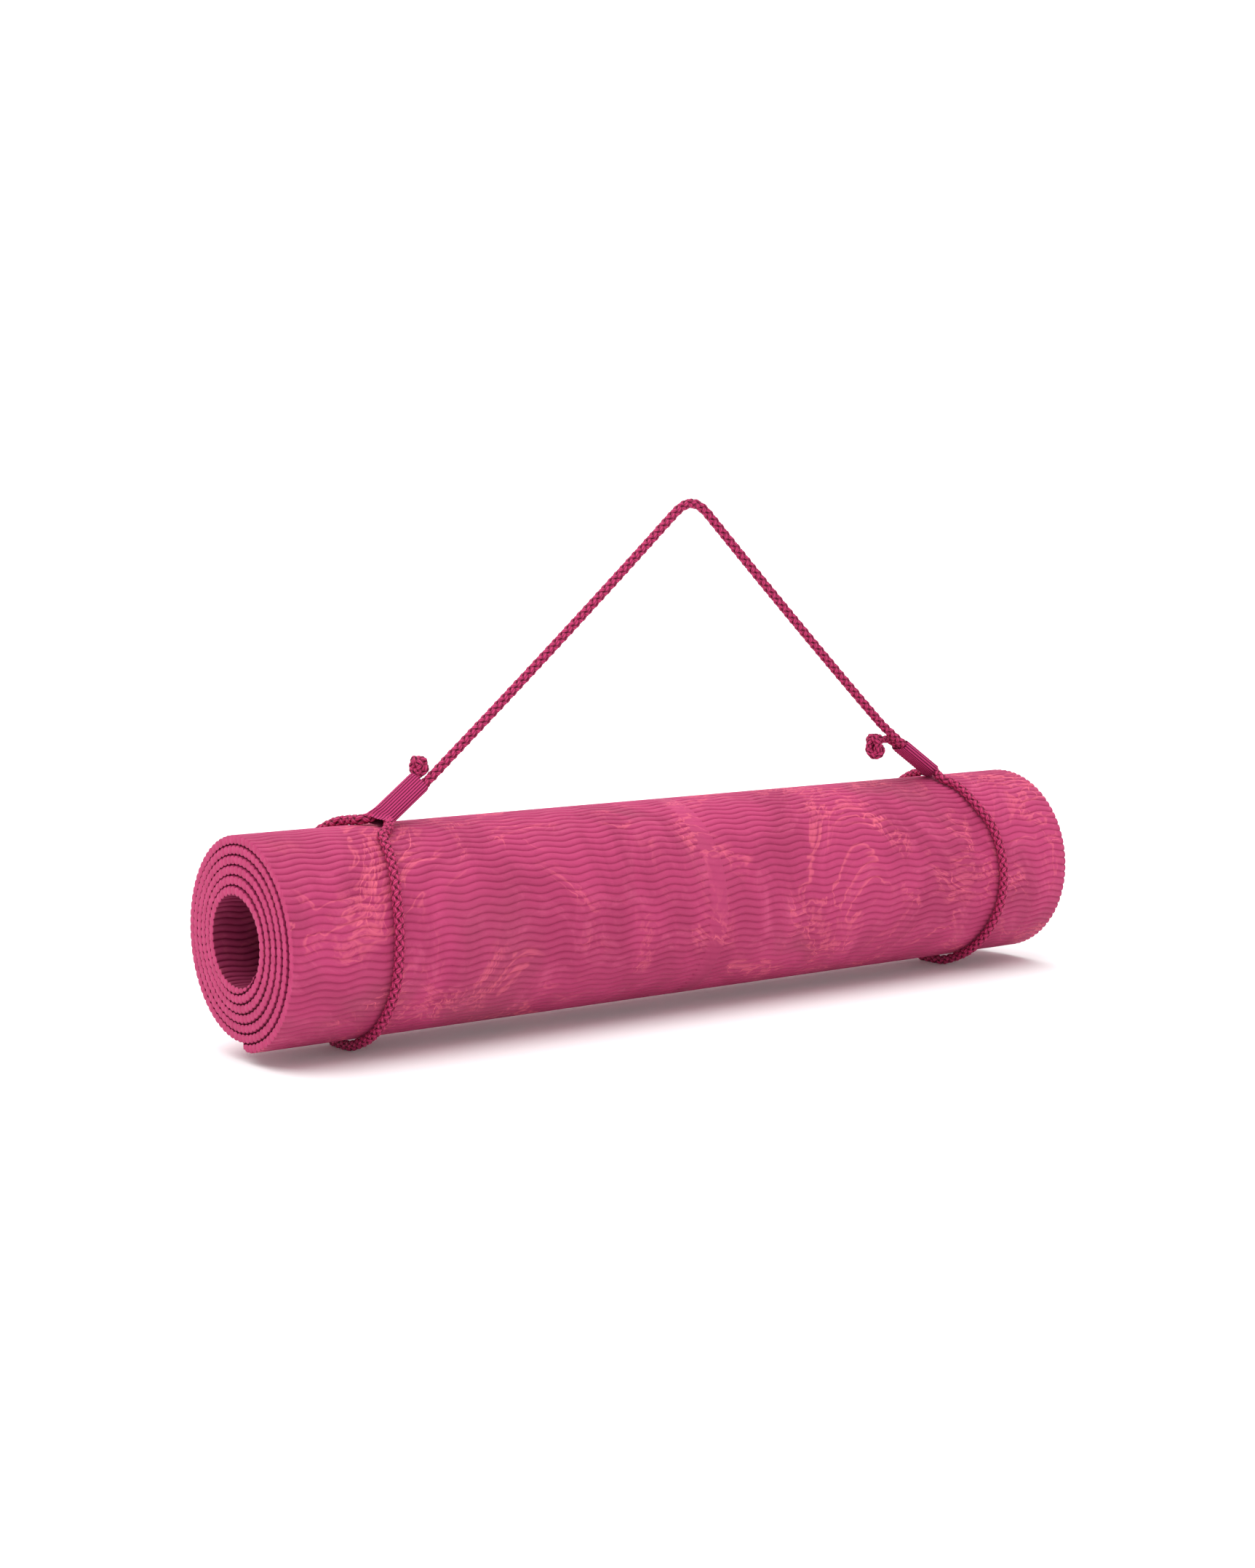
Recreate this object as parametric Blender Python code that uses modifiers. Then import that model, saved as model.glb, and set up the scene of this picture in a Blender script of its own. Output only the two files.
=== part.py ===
"""Rolled yoga mat with a braided carry cord: two cinched loops, two woven sleeves, two knots and a strap."""

from math import ceil, cos, pi, radians, sin

import bmesh
import bpy
from mathutils import Vector

# Sheet: one piece of foam, rolled about X. Metres throughout; the roll lies on its two cord loops at z = 0.
SHEET_WIDTH = 0.610
SHEET_THICKNESS = 0.0055
ROLL_PITCH = 0.00575
ROLL_STEP = radians(10)
ROLL_STEPS = 222
ROLL_OUTER = 0.0642
ROLL_CENTRE_Y = 0.00145
CORD_RADIUS = 0.00305
CLEARANCE = 0.0003
FLOOR_PRESS = 0.00035
ROLL_CENTRE_Z = ROLL_OUTER + CLEARANCE + 2 * CORD_RADIUS - FLOOR_PRESS

# Half the distance between the two strands in a sleeve, and the sleeve's own wall.
STRAND_OFFSET = 0.0032
SLEEVE_WALL = 0.0008
SLEEVE_ARC_STEPS = 9

# Point spacing along the cord: on the roll, in a bend, beside a sleeve's mouth, and inside a sleeve.
ROUTE_SPACING = 0.006
BEND_SPACING = 0.0028
MOUTH_SPACING = 0.0017
STRAIGHT_SPACING = 0.018

# Straight run of each strand beyond a mouth, and half the width of the flat pressed into a loop by the floor.
MOUTH_RUN = 0.0014
FLOOR_FLAT = 0.010

# Hinge line of the free strap, parallel to X, and the corner that its two legs rise to.
HINGE_Y = -0.0086
HINGE_Z = ROLL_CENTRE_Z + 0.1003
APEX = Vector((0.0151, HINGE_Y, ROLL_CENTRE_Z + 0.2549))
APEX_BEND = 0.0178
LEG_SAG = 0.0011

COLLECTION = "rolled_yoga_mat"


def clear_scene():
    for obj in list(bpy.data.objects):
        bpy.data.objects.remove(obj, do_unlink=True)


def principled(name, colour, roughness):
    material = bpy.data.materials.new(name)
    material.use_nodes = True
    shader = material.node_tree.nodes["Principled BSDF"]
    shader.inputs["Base Color"].default_value = (*colour, 1.0)
    shader.inputs["Roughness"].default_value = roughness
    return material


def add_object(name, data, material):
    obj = bpy.data.objects.new(name, data)
    data.materials.append(material)
    bpy.data.collections[COLLECTION].objects.link(obj)
    return obj


def mesh_object(name, vertices, faces, material):
    mesh = bpy.data.meshes.new(name)
    mesh.from_pydata(vertices, [], faces)
    mesh.update()
    return add_object(name, mesh, material)


def roll_point(angle, radius, x):
    """Point at an angle measured from straight down towards the front (-Y)."""
    y = ROLL_CENTRE_Y - radius * sin(angle)
    z = ROLL_CENTRE_Z - radius * cos(angle)
    return Vector((x, y, z))


def outer_radius(turns):
    """Radius of the sheet's outer face, so many turns in from its free end at the bottom."""
    return ROLL_OUTER - ROLL_PITCH * turns


def build_mat():
    half = SHEET_WIDTH / 2
    vertices = []
    for step in range(ROLL_STEPS + 1):
        angle = step * ROLL_STEP
        middle = outer_radius(angle / (2 * pi)) - SHEET_THICKNESS / 2
        vertices.append(roll_point(angle, middle, -half))
        vertices.append(roll_point(angle, middle, half))
    faces = [(2 * i, 2 * i + 1, 2 * i + 3, 2 * i + 2) for i in range(ROLL_STEPS)]
    mat = mesh_object("mat", vertices, faces, principled("mat", (0.55, 0.06, 0.19), 0.75))
    thickness = mat.modifiers.new("thickness", "SOLIDIFY")
    thickness.thickness = SHEET_THICKNESS
    thickness.offset = 0.0
    thickness.use_even_offset = True


def bezier(start, start_handle, end_handle, end, steps):
    points = []
    for i in range(steps + 1):
        t = i / steps
        u = 1 - t
        points.append(
            start * u**3
            + start_handle * (3 * u * u * t)
            + end_handle * (3 * u * t * t)
            + end * t**3
        )
    return points


def resample(points, spacing):
    """The polyline's points at an even spacing, both ends kept."""
    lengths = [0.0]
    for a, b in zip(points, points[1:]):
        lengths.append(lengths[-1] + (b - a).length)
    count = ceil(lengths[-1] / spacing)
    result = []
    index = 0
    for i in range(count + 1):
        target = lengths[-1] * i / count
        while index < len(points) - 2 and lengths[index + 1] < target:
            index += 1
        span = lengths[index + 1] - lengths[index]
        share = (target - lengths[index]) / span if span > 0 else 0.0
        result.append(points[index].lerp(points[index + 1], share))
    return result


def interpolate(stations, value):
    """Smooth value of x at an angle, from (angle, x) stations."""
    for (a0, x0), (a1, x1) in zip(stations, stations[1:]):
        if value <= a1:
            share = max(0.0, (value - a0) / (a1 - a0))
            eased = share * share * (3 - 2 * share)
            return x0 + (x1 - x0) * (0.4 * eased + 0.6 * share)
    return stations[-1][1]


def roll_hull():
    """Section points that a taut loop touches: the outer turn, and the flat that lies on the floor."""
    points = [(-FLOOR_FLAT, -ROLL_OUTER), (FLOOR_FLAT, -ROLL_OUTER)]
    for degrees in range(0, 361, 5):
        radius = outer_radius(degrees / 360)
        points.append((-radius * sin(radians(degrees)), -radius * cos(radians(degrees))))
    return points


def loop_section(start_degrees, end_degrees):
    """Centre line round the roll as (degrees from the top over the front, y, z), one point per degree."""
    hull = roll_hull()
    reach = CORD_RADIUS + CLEARANCE
    section = []
    for degree in range(start_degrees, end_degrees + 1):
        ny = -sin(radians(degree))
        nz = cos(radians(degree))
        y, z = max(hull, key=lambda point: point[0] * ny + point[1] * nz)
        section.append((degree, ROLL_CENTRE_Y + y + reach * ny, ROLL_CENTRE_Z + z + reach * nz))
    return section


def tube(name, points, material, round_start=False):
    """A cord stretch: a POLY spline with a round bevel, and a half-ball on its first end if asked for."""
    steps = [(point, 1.0) for point in points]
    if round_start:
        outward = (points[0] - points[1]).normalized()
        for degrees in (30, 55, 75, 87):
            reach = CORD_RADIUS * sin(radians(degrees))
            steps.insert(0, (points[0] + outward * reach, cos(radians(degrees))))
    curve = bpy.data.curves.new(name, "CURVE")
    curve.dimensions = "3D"
    curve.bevel_depth = CORD_RADIUS
    curve.bevel_resolution = 3
    curve.use_fill_caps = True
    spline = curve.splines.new("POLY")
    spline.points.add(len(steps) - 1)
    for slot, (point, scale) in zip(spline.points, steps):
        slot.co = (*point, 1.0)
        slot.radius = scale
    return add_object(name, curve, material)


def flatten_on_floor(tube_object, cutter):
    """The loop as a mesh, with the flat that the roll's weight presses into it at z = 0."""
    graph = bpy.context.evaluated_depsgraph_get()
    mesh = bpy.data.meshes.new_from_object(tube_object.evaluated_get(graph))
    weld = bmesh.new()
    weld.from_mesh(mesh)
    bmesh.ops.remove_doubles(weld, verts=weld.verts, dist=1e-6)
    weld.to_mesh(mesh)
    weld.free()
    name = tube_object.name
    matrix = tube_object.matrix_world.copy()
    bpy.data.objects.remove(tube_object, do_unlink=True)
    solid = bpy.data.objects.new(name, mesh)
    solid.matrix_world = matrix
    bpy.data.collections[COLLECTION].objects.link(solid)
    flat = solid.modifiers.new("floor_flat", "BOOLEAN")
    flat.operation = "DIFFERENCE"
    flat.solver = "EXACT"
    flat.object = cutter


def build_floor_cutter():
    collection = bpy.data.collections.new("cutters")
    bpy.context.scene.collection.children.link(collection)
    bpy.ops.mesh.primitive_cube_add(size=1.0, location=(0.0, 0.0, -0.005))
    cutter = bpy.context.object
    cutter.name = "floor_cutter"
    cutter.scale = (SHEET_WIDTH, 0.2, 0.01)
    cutter.hide_render = True
    cutter.display_type = "WIRE"
    for owner in list(cutter.users_collection):
        owner.objects.unlink(cutter)
    collection.objects.link(cutter)
    return cutter


class Sleeve:
    """Frame of one woven sleeve: its top mouth's centre, its upward direction, and where each strand lies."""

    def __init__(self, side, top, rise_degrees, tail_side, length, mouth_run):
        self.top = Vector(top)
        self.up = Vector((-side * cos(radians(rise_degrees)), 0.0, sin(radians(rise_degrees))))
        wide = Vector(tail_side)
        self.wide = (wide - wide.dot(self.up) * self.up).normalized()
        self.thin = self.up.cross(self.wide)
        self.length = length
        self.mouth_run = mouth_run
        self.bottom = self.top - self.up * length

    def strap_strand(self, below_top):
        return self.top - self.up * below_top - self.wide * STRAND_OFFSET

    def tail_strand(self, below_top):
        return self.top - self.up * below_top + self.wide * STRAND_OFFSET

    def ring(self, centre, radius):
        """Stadium-shaped outline round both strands."""
        outline = []
        for sign in (1, -1):
            for i in range(SLEEVE_ARC_STEPS):
                angle = pi * i / (SLEEVE_ARC_STEPS - 1) - pi / 2
                across = sign * (STRAND_OFFSET + radius * cos(angle))
                outline.append(centre + self.wide * across + self.thin * (sign * radius * sin(angle)))
        return outline


def build_sleeve(name, sleeve, material):
    """Open stadium tube: outer and inner walls joined by a flat rim at each mouth."""
    inner = CORD_RADIUS + CLEARANCE
    outer = inner + SLEEVE_WALL
    rings = [
        sleeve.ring(sleeve.bottom, outer),
        sleeve.ring(sleeve.top, outer),
        sleeve.ring(sleeve.top, inner),
        sleeve.ring(sleeve.bottom, inner),
    ]
    count = len(rings[0])
    vertices = [point for ring in rings for point in ring]
    faces = []
    for ring in range(4):
        following = (ring + 1) % 4
        for i in range(count):
            j = (i + 1) % count
            faces.append((ring * count + i, ring * count + j, following * count + j, following * count + i))
    mesh_object(name, vertices, faces, material)


def build_stitching(name, sleeve, material):
    """Row of raised sewing thread along the sleeve's seam, on the face turned to the front."""
    rise = CORD_RADIUS + CLEARANCE + SLEEVE_WALL + CLEARANCE
    thread = 0.0003
    face = sleeve.thin if sleeve.thin.y < 0 else -sleeve.thin
    across = sleeve.wide * (STRAND_OFFSET * 0.4)
    curve = bpy.data.curves.new(name, "CURVE")
    curve.dimensions = "3D"
    curve.bevel_depth = thread
    curve.bevel_resolution = 1
    curve.use_fill_caps = True
    spline = curve.splines.new("POLY")
    count = 12
    spline.points.add(count - 1)
    for i in range(count):
        along = sleeve.length * (0.08 + 0.84 * i / (count - 1))
        wave = thread * (1 + (i % 2))
        point = sleeve.top - sleeve.up * along + across + face * (rise + wave)
        spline.points[i].co = (*point, 1.0)
    return add_object(name, curve, material)


def build_knot(name, centre, half_sizes, material):
    """Outer shape of a stopper knot: a ball of the knot's own size."""
    bpy.ops.mesh.primitive_uv_sphere_add(segments=16, ring_count=10, radius=1.0, location=centre)
    obj = bpy.context.object
    obj.name = name
    obj.data.name = name
    obj.scale = half_sizes
    for collection in list(obj.users_collection):
        collection.objects.unlink(obj)
    bpy.data.collections[COLLECTION].objects.link(obj)
    obj.data.materials.append(material)


def surface_run(stations, start_degrees, end_degrees):
    return [
        Vector((interpolate(stations, degree), y, z))
        for degree, y, z in loop_section(start_degrees, end_degrees)
    ]


def join(runs):
    """One polyline from runs that share their ends, each resampled at its own spacing."""
    points = []
    for run, spacing in runs:
        points += resample(run, spacing)[1 if points else 0 :]
    return points


def loop_route(sleeve, hinge, stations, landing, tail):
    """Hinge end, down through the sleeve, round the roll and back up through the sleeve to the tail's end.

    The stations say where the loop lies along the roll, from the first angle to the last. The strand from the
    back lies on the roll up to the landing, heading along it, before it rises into the sleeve.
    """
    mouth = sleeve.length + sleeve.mouth_run
    top = sleeve.strap_strand(-MOUTH_RUN)
    bottom = sleeve.strap_strand(mouth)
    tail_bottom = sleeve.tail_strand(sleeve.length + MOUTH_RUN)
    tail_top = sleeve.tail_strand(-MOUTH_RUN if tail else -CLEARANCE)
    around = surface_run(stations, stations[0][0], stations[-1][0])
    first_way = (around[1] - around[0]).normalized()
    last_way = (around[-1] - around[-2]).normalized()
    neck = bezier(hinge, hinge.lerp(top, 0.35), top + sleeve.up * 0.006, top, 12)
    front = bezier(bottom, bottom - sleeve.up * 0.0024, around[0] - first_way * 0.0115, around[0], 16)
    ahead = Vector((sleeve.up.x, 0.0, 0.0)).normalized()
    over = bezier(around[-1], around[-1] + last_way * 0.0083, landing - ahead * 0.0055, landing, 16)
    rise = bezier(landing, landing + ahead * 0.0026, tail_bottom - sleeve.up * 0.0026, tail_bottom, 10)
    runs = [
        (neck, ROUTE_SPACING),
        ([top, bottom], STRAIGHT_SPACING),
        (front, MOUTH_SPACING),
        (around, ROUTE_SPACING),
        (over, BEND_SPACING),
        (rise, MOUTH_SPACING),
        ([tail_bottom, tail_top], STRAIGHT_SPACING),
    ]
    if tail:
        out = bezier(tail_top, tail_top + sleeve.up * 0.006, tail[0], tail[1], 12)
        runs.append((out, BEND_SPACING))
    return join(runs)


def leg(start, end):
    """One leg of the strap, sagging a little in its middle, from its start to its end."""
    points = []
    for point in resample([start, end], STRAIGHT_SPACING):
        share = (point - start).length / (end - start).length
        points.append(point - Vector((0.0, 0.0, 4 * LEG_SAG * share * (1 - share))))
    return points


def build_strap(left_hinge, right_hinge, material):
    """Free strap: two legs and one tight bend at the top."""
    gap = CORD_RADIUS + CLEARANCE
    left_way = (APEX - left_hinge).normalized()
    right_way = (APEX - right_hinge).normalized()
    left_bend = APEX - left_way * APEX_BEND
    right_bend = APEX - right_way * APEX_BEND
    bend = bezier(left_bend, left_bend.lerp(APEX, 0.72), right_bend.lerp(APEX, 0.72), right_bend, 10)
    left_leg = leg(left_hinge + left_way * gap, left_bend)
    right_leg = leg(right_bend, right_hinge + right_way * gap)
    return tube("carry_strap", left_leg[:-1] + bend + right_leg[1:], material)


def main():
    clear_scene()
    collection = bpy.data.collections.new(COLLECTION)
    bpy.context.scene.collection.children.link(collection)
    build_mat()

    axis_z = ROLL_CENTRE_Z
    left = Sleeve(-1, (-0.1879, -0.0065, axis_z + 0.0856), 37.0, (-0.44, 0.64, 0.63), 0.0286, 0.0018)
    right = Sleeve(1, (0.1988, -0.0055, axis_z + 0.0856), 33.6, (-0.07, 0.99, -0.12), 0.0330, 0.0030)
    left_hinge = Vector((-0.1662, HINGE_Y, HINGE_Z))
    right_hinge = Vector((0.1795, HINGE_Y, HINGE_Z))

    # Where each loop lies along the roll: degrees from the top over the front, and x.
    left_stations = [
        (24, -0.2270),
        (34, -0.2295),
        (46, -0.2321),
        (57, -0.2345),
        (66, -0.2366),
        (78, -0.2379),
        (94, -0.2386),
        (180, -0.2390),
        (250, -0.2378),
        (324, -0.2347),
        (345, -0.2297),
    ]
    right_stations = [
        (24, 0.2304),
        (38, 0.2319),
        (46, 0.2338),
        (56, 0.2374),
        (66, 0.2393),
        (85, 0.2412),
        (105, 0.2420),
        (140, 0.2400),
        (180, 0.2388),
        (324, 0.2380),
        (350, 0.2368),
    ]
    rest_z = axis_z + outer_radius(0.5) + CORD_RADIUS + 1.5 * CLEARANCE
    left_landing = Vector((-0.2225, -0.0005, rest_z))
    right_landing = Vector((0.2308, -0.0020, rest_z))
    tail = (Vector((0.1885, -0.0020, axis_z + 0.0905)), Vector((0.1836, -0.0035, axis_z + 0.0893)))
    left_route = loop_route(left, left_hinge, left_stations, left_landing, None)
    right_route = loop_route(right, right_hinge, right_stations, right_landing, tail)

    cutter = build_floor_cutter()
    for side, route in (("left", left_route), ("right", right_route)):
        material = principled(side + "_loop", (0.42, 0.03, 0.12), 0.8)
        loop = tube(side + "_loop", route, material, round_start=True)
        bpy.context.view_layer.update()
        flatten_on_floor(loop, cutter)
    build_strap(left_hinge, right_hinge, principled("carry_strap", (0.42, 0.03, 0.12), 0.8))

    for side, sleeve in (("left", left), ("right", right)):
        build_sleeve(side + "_sleeve", sleeve, principled(side + "_sleeve", (0.36, 0.03, 0.11), 0.85))
        build_stitching(side + "_stitching", sleeve, principled(side + "_stitching", (0.60, 0.10, 0.22), 0.7))
    knots = (
        ("left_knot", (-0.1860, -0.0028, axis_z + 0.0941), (0.0061, 0.0061, 0.0061)),
        ("right_knot", (0.1758, -0.0060, axis_z + 0.0859), (0.0067, 0.0067, 0.0090)),
    )
    for name, centre, half_sizes in knots:
        build_knot(name, centre, half_sizes, principled(name, (0.42, 0.03, 0.12), 0.8))


main()
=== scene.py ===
from math import ceil, cos, pi, radians, sin, sqrt

import bmesh
import bpy
import numpy as np
from mathutils import Matrix, Vector


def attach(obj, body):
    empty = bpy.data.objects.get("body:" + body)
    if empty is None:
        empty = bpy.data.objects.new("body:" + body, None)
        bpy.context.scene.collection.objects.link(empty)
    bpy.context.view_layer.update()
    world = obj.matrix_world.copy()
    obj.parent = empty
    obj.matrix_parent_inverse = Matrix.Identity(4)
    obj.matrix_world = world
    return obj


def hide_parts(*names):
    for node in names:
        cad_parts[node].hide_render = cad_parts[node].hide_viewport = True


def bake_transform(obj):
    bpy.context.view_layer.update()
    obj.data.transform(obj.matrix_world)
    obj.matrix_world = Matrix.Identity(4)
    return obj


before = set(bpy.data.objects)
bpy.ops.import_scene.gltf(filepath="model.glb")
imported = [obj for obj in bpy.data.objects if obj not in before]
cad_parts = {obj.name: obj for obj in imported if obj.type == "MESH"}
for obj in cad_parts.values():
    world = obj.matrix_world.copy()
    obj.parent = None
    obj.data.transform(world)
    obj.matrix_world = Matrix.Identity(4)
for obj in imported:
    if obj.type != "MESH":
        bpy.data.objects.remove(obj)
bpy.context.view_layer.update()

# The stage's light is this many times as bright as white, so that the floor shows white near the object.
STAGE_LIGHT = 1.2


def rgb(red, green, blue):
    """Surface colour that looks like the display values of 0 to 255 in the stage's light."""

    def linear(value):
        share = value / 255
        return share / 12.92 if share <= 0.04045 else ((share + 0.055) / 1.055) ** 2.4

    return (linear(red) / STAGE_LIGHT, linear(green) / STAGE_LIGHT, linear(blue) / STAGE_LIGHT, 1.0)


# Sizes of the CAD model, in metres, repeated here because this script reads no other file.
SHEET_WIDTH = 0.610
SHEET_LENGTH = 1.6940
SHEET_THICKNESS = 0.0055
TURN_COUNT = 6.2
ROLL_PITCH = 0.00575
ROLL_OUTER = 0.0642
ROLL_MIDDLE = ROLL_OUTER - SHEET_THICKNESS / 2
ROLL_CENTRE_Y = 0.00145
CORD_RADIUS = 0.00305
CLEARANCE = 0.0003
FLOOR_PRESS = 0.00035
ROLL_CENTRE_Z = ROLL_OUTER + CLEARANCE + 2 * CORD_RADIUS - FLOOR_PRESS
STRAND_OFFSET = 0.0032
SLEEVE_WALL = 0.0008
ROUTE_SPACING = 0.006
BEND_SPACING = 0.0028
MOUTH_SPACING = 0.0017
MOUTH_RUN = 0.0014
FLOOR_FLAT = 0.010
HINGE_Y = -0.0086
HINGE_Z = ROLL_CENTRE_Z + 0.1003
APEX = Vector((0.0151, HINGE_Y, ROLL_CENTRE_Z + 0.2549))
APEX_BEND = 0.0178
LEG_SAG = 0.0011
STRAIGHT_SPACING = 0.018
TAIL_TOP = 0.003

# The foam's ribs, as they lie on the flat sheet. They run in waves, on a long slow sway.
RIB_PITCH = 0.00462
RIB_DEPTH = 0.00100
RIB_SHARPNESS = 1.75
RIB_ROWS = (0.0, 0.06, 0.15, 0.30, 0.5, 0.70, 0.85, 0.94)
WAVE_LENGTH = 0.0275
WAVE_HEIGHT = 0.00100
WAVE_START = -2.26
WAVE_FADE_FROM = 0.002
WAVE_FADE_RUN = 0.010
SWAY_LENGTH = 0.19
SWAY_HEIGHT = 0.0003

# The one plain band across the ribs.
BAND_CENTRE = -0.003
BAND_HALF = 0.0070
BAND_EDGE = 0.0006

# The sheet over its crests, its four edges and its corners.
CREST_THICKNESS = 0.00560
EDGE_ROUND = 0.00020
FREE_END_FALL = 0.0052
FREE_END_RUN = 0.0125
FREE_EDGE_ROUND = 0.0006
FREE_CORNER = 0.0035
INNER_EDGE_ROUND = 0.0001
INNER_CORNER = 0.0030
INNER_TAPER = 0.036
INNER_THINNING = 0.92

# How far the inmost turn stands out of the roll's near end, and how unevenly the turns between lie.
TELESCOPE = 0.0038
UNEVENNESS = 0.00025

# The sheet's mesh: rows from each end inwards, columns from each edge inwards, and the columns between.
FREE_END_ROWS = (0.0, 0.00005, 0.00015, 0.0004, 0.0008, 0.0013, 0.0020, 0.0029, 0.0040, 0.0054, 0.0070)
INNER_END_ROWS = (0.0, 0.00006, 0.0002, 0.0006, 0.0012, 0.0022)
ROW_GAP = 0.0006
EDGE_COLUMNS = (0.0, 0.00012, 0.0003, 0.0008, 0.0022)
BODY_MARGIN = 0.0045
BODY_COLUMNS = 178
BAND_COLUMNS = (-0.0006, 0.0, 0.0005)
BAND_CLEAR = 0.0012
HIDDEN_MARGIN = 0.009
HIDDEN_COLUMNS = 24

# Turns that stay visible from outside or from inside, and the amount of shade painted on the hidden faces in
# the gaps.
SHOWN_TURNS = 1.03
SHOWN_LAST_TURNS = 1.02
OUTER_GAP_SHADE = 3.0
INNER_GAP_SHADE = 1.3

# The foam's colours, and how far its marbling is moved along the roll.
MARBLING_SHIFT = 0.060
FOAM_DEEP = rgb(172, 52, 98)
FOAM_LIGHT = rgb(194, 63, 114)
FOAM_MAUVE = rgb(166, 66, 98)
FOAM_PALE = rgb(216, 92, 134)
FOAM_CORAL = rgb(248, 116, 138)
FOAM_CUT_DEEP = rgb(178, 48, 98)
FOAM_CUT_LIGHT = rgb(192, 58, 110)
# Painted shade, laid in the grooves, on the faces hidden in the gaps between turns and over the whole inner
# face.
FOAM_SHADE = rgb(74, 4, 30)

# The colours of the cord, the webbing and the thread.
ROPE_LIGHT = rgb(212, 60, 116)
# The cord's dark colour stands both for darker yarn and for painted shade in the crevices between strands.
ROPE_DARK_AND_SHADE = rgb(72, 2, 28)
WEB_LIGHT = rgb(212, 64, 126)
# The webbing's dark colour stands both for darker yarn and for painted shade between the ribs and inside the
# tube.
WEB_DARK_AND_SHADE = rgb(60, 0, 24)
WEB_PICK = rgb(92, 14, 48)
THREAD_LIGHT = rgb(214, 84, 138)
THREAD_DARK = rgb(130, 20, 66)

# The plaited cord, and how finely its centre line is drawn and rounded.
ROPE_RADIUS = 0.00330
ROPE_LAY = 0.0248
STRAND_HALF_WIDTH = 0.00143
STRAND_HALF_THICK = 0.00102
WEAVE_RADIUS = 0.00176
WEAVE_RISE = 0.00052
STRAND_SIDES = 8
FLOOR_GAP = 0.0001
CORD_STEP = 0.001
CORD_ROUNDING = 0.0035

# The stopper knots: each wraps a ball in waves of this height and swell.
KNOT_LIFT = radians(50)
KNOT_SWELL = 0.12
KNOT_STEP = 0.0005
KNOT_ROUNDING = 0.0008

# Light: the sky at and near the horizon, the dim sky overhead, and one wide sun.
HORIZON = 1.04 * STAGE_LIGHT
HORIZON_TOP = 0.22
OVERHEAD = 0.48 * STAGE_LIGHT
OVERHEAD_FROM = 0.50
SUN_STRENGTH = 2.8 * STAGE_LIGHT
SUN_FROM = (-0.16, 0.10, 1.0)
SUN_WIDTH = radians(85)
FLOOR_SIZE = 60.0

# The camera's place, its tilt and turn, and its lens in millimetres on a sensor 36 mm wide.
CAMERA_PLACE = (-0.988, -1.28155, 0.31705)
CAMERA_TILT = radians(83.8)
CAMERA_TURN = radians(-36.8)
CAMERA_LENS = 73.0435
SENSOR_WIDTH = 36.0

# The woven sleeves: their lengths, bore round each strand, ribs, rims and distance from the roll.
LEFT_SLEEVE_LENGTH = 0.0400
RIGHT_SLEEVE_LENGTH = 0.0395
SLEEVE_BORE = CORD_RADIUS + 0.00022
SLEEVE_RIBS = 22
RIB_RISE = 0.00052
RIB_FULLNESS = 0.8
RIM_ROUND = 0.00035
SLEEVE_STATIONS = 34
SECTION_STEP = 0.002
OUTSIDE_GAP = 0.0003
INSIDE_GAP = 0.0007

# The sleeve's outline: the most that its strands spread, how far its flats reach and how they sink in.
SPREAD_MOST = 0.0060
FLAT_SPAN = 1.9
PINCH_LEAST = 0.06
PINCH_MORE = 0.38
PINCH_FROM = 0.0034
PINCH_RUN = 0.0026

# The thread that closes each sleeve.
STITCH_COUNT = 13
STITCH_START = 0.0030
STITCH_PITCH = 0.0024
STITCH_LENGTH = 0.0017
STITCH_RADIUS = 0.00024
STITCH_SLANT = 0.10
STITCH_SIDES = 6
STITCH_RINGS = 7
SEAM_ANGLE = radians(62)


# ---------------------------------------------------------------- node helpers


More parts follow.
